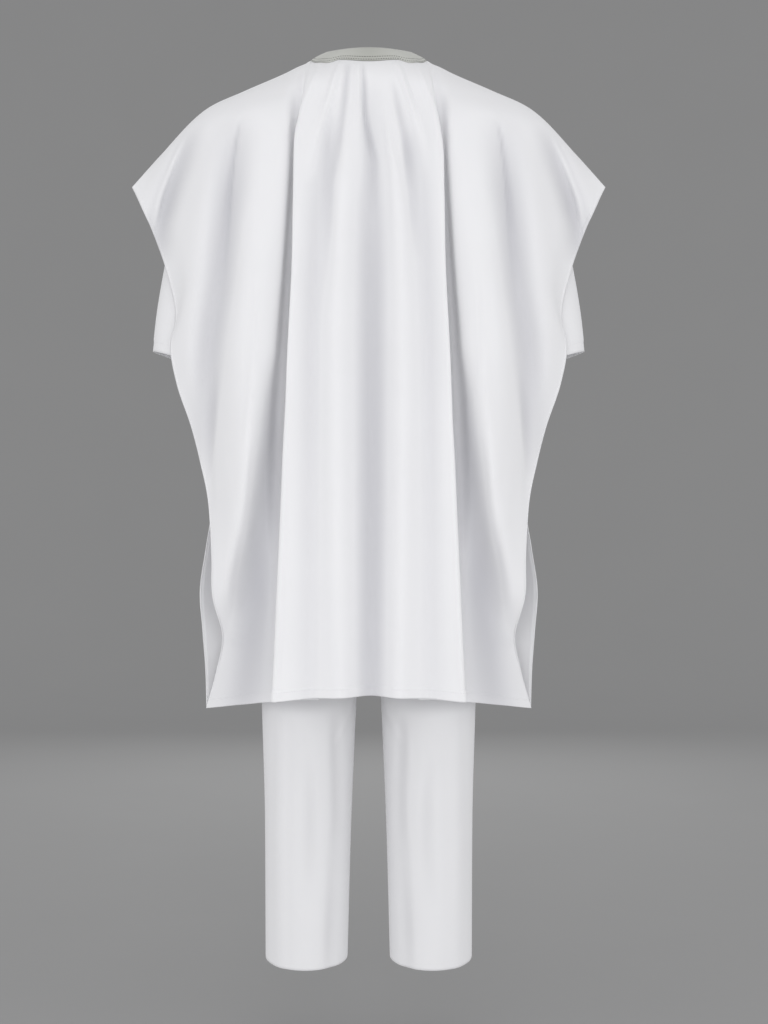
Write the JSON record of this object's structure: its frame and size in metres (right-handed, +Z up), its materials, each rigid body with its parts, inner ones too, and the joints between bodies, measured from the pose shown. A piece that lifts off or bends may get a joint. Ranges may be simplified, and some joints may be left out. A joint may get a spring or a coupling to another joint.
{
  "type": "kaftan set",
  "caption": "White open-sided robe with a grey stand-up neckband, over a short-sleeved tunic and straight trousers, hanging hollow as worn.",
  "frame": {"origin": "middle of the neck at the height of the shoulders, where the wearer holds the set", "axes": "+Z up along the set's length, +Y the way the wearer faces, +X the wearer's right"},
  "size_m": [0.7672, 0.3336, 1.4726],
  "materials": {
    "robe_cloth": "smooth plain-woven white cloth with a slight sheen",
    "band_cloth": "matte grey cloth with twin rows of stitching",
    "tunic_cloth": "smooth plain-woven white cloth",
    "trouser_cloth": "smooth plain-woven white cloth"
  },
  "bodies": {
    "root": {"robe_back": "robe_cloth", "robe_front": "robe_cloth", "robe_wing_left": "robe_cloth", "robe_wing_right": "robe_cloth", "robe_neckband": "band_cloth", "tunic_back": "tunic_cloth", "tunic_front": "tunic_cloth", "tunic_sleeve_left": "tunic_cloth", "tunic_sleeve_right": "tunic_cloth", "trouser_back_left": "trouser_cloth", "trouser_back_right": "trouser_cloth", "trouser_front_left": "trouser_cloth", "trouser_front_right": "trouser_cloth", "trouser_waistband": "trouser_cloth"}
  },
  "joints": []
}
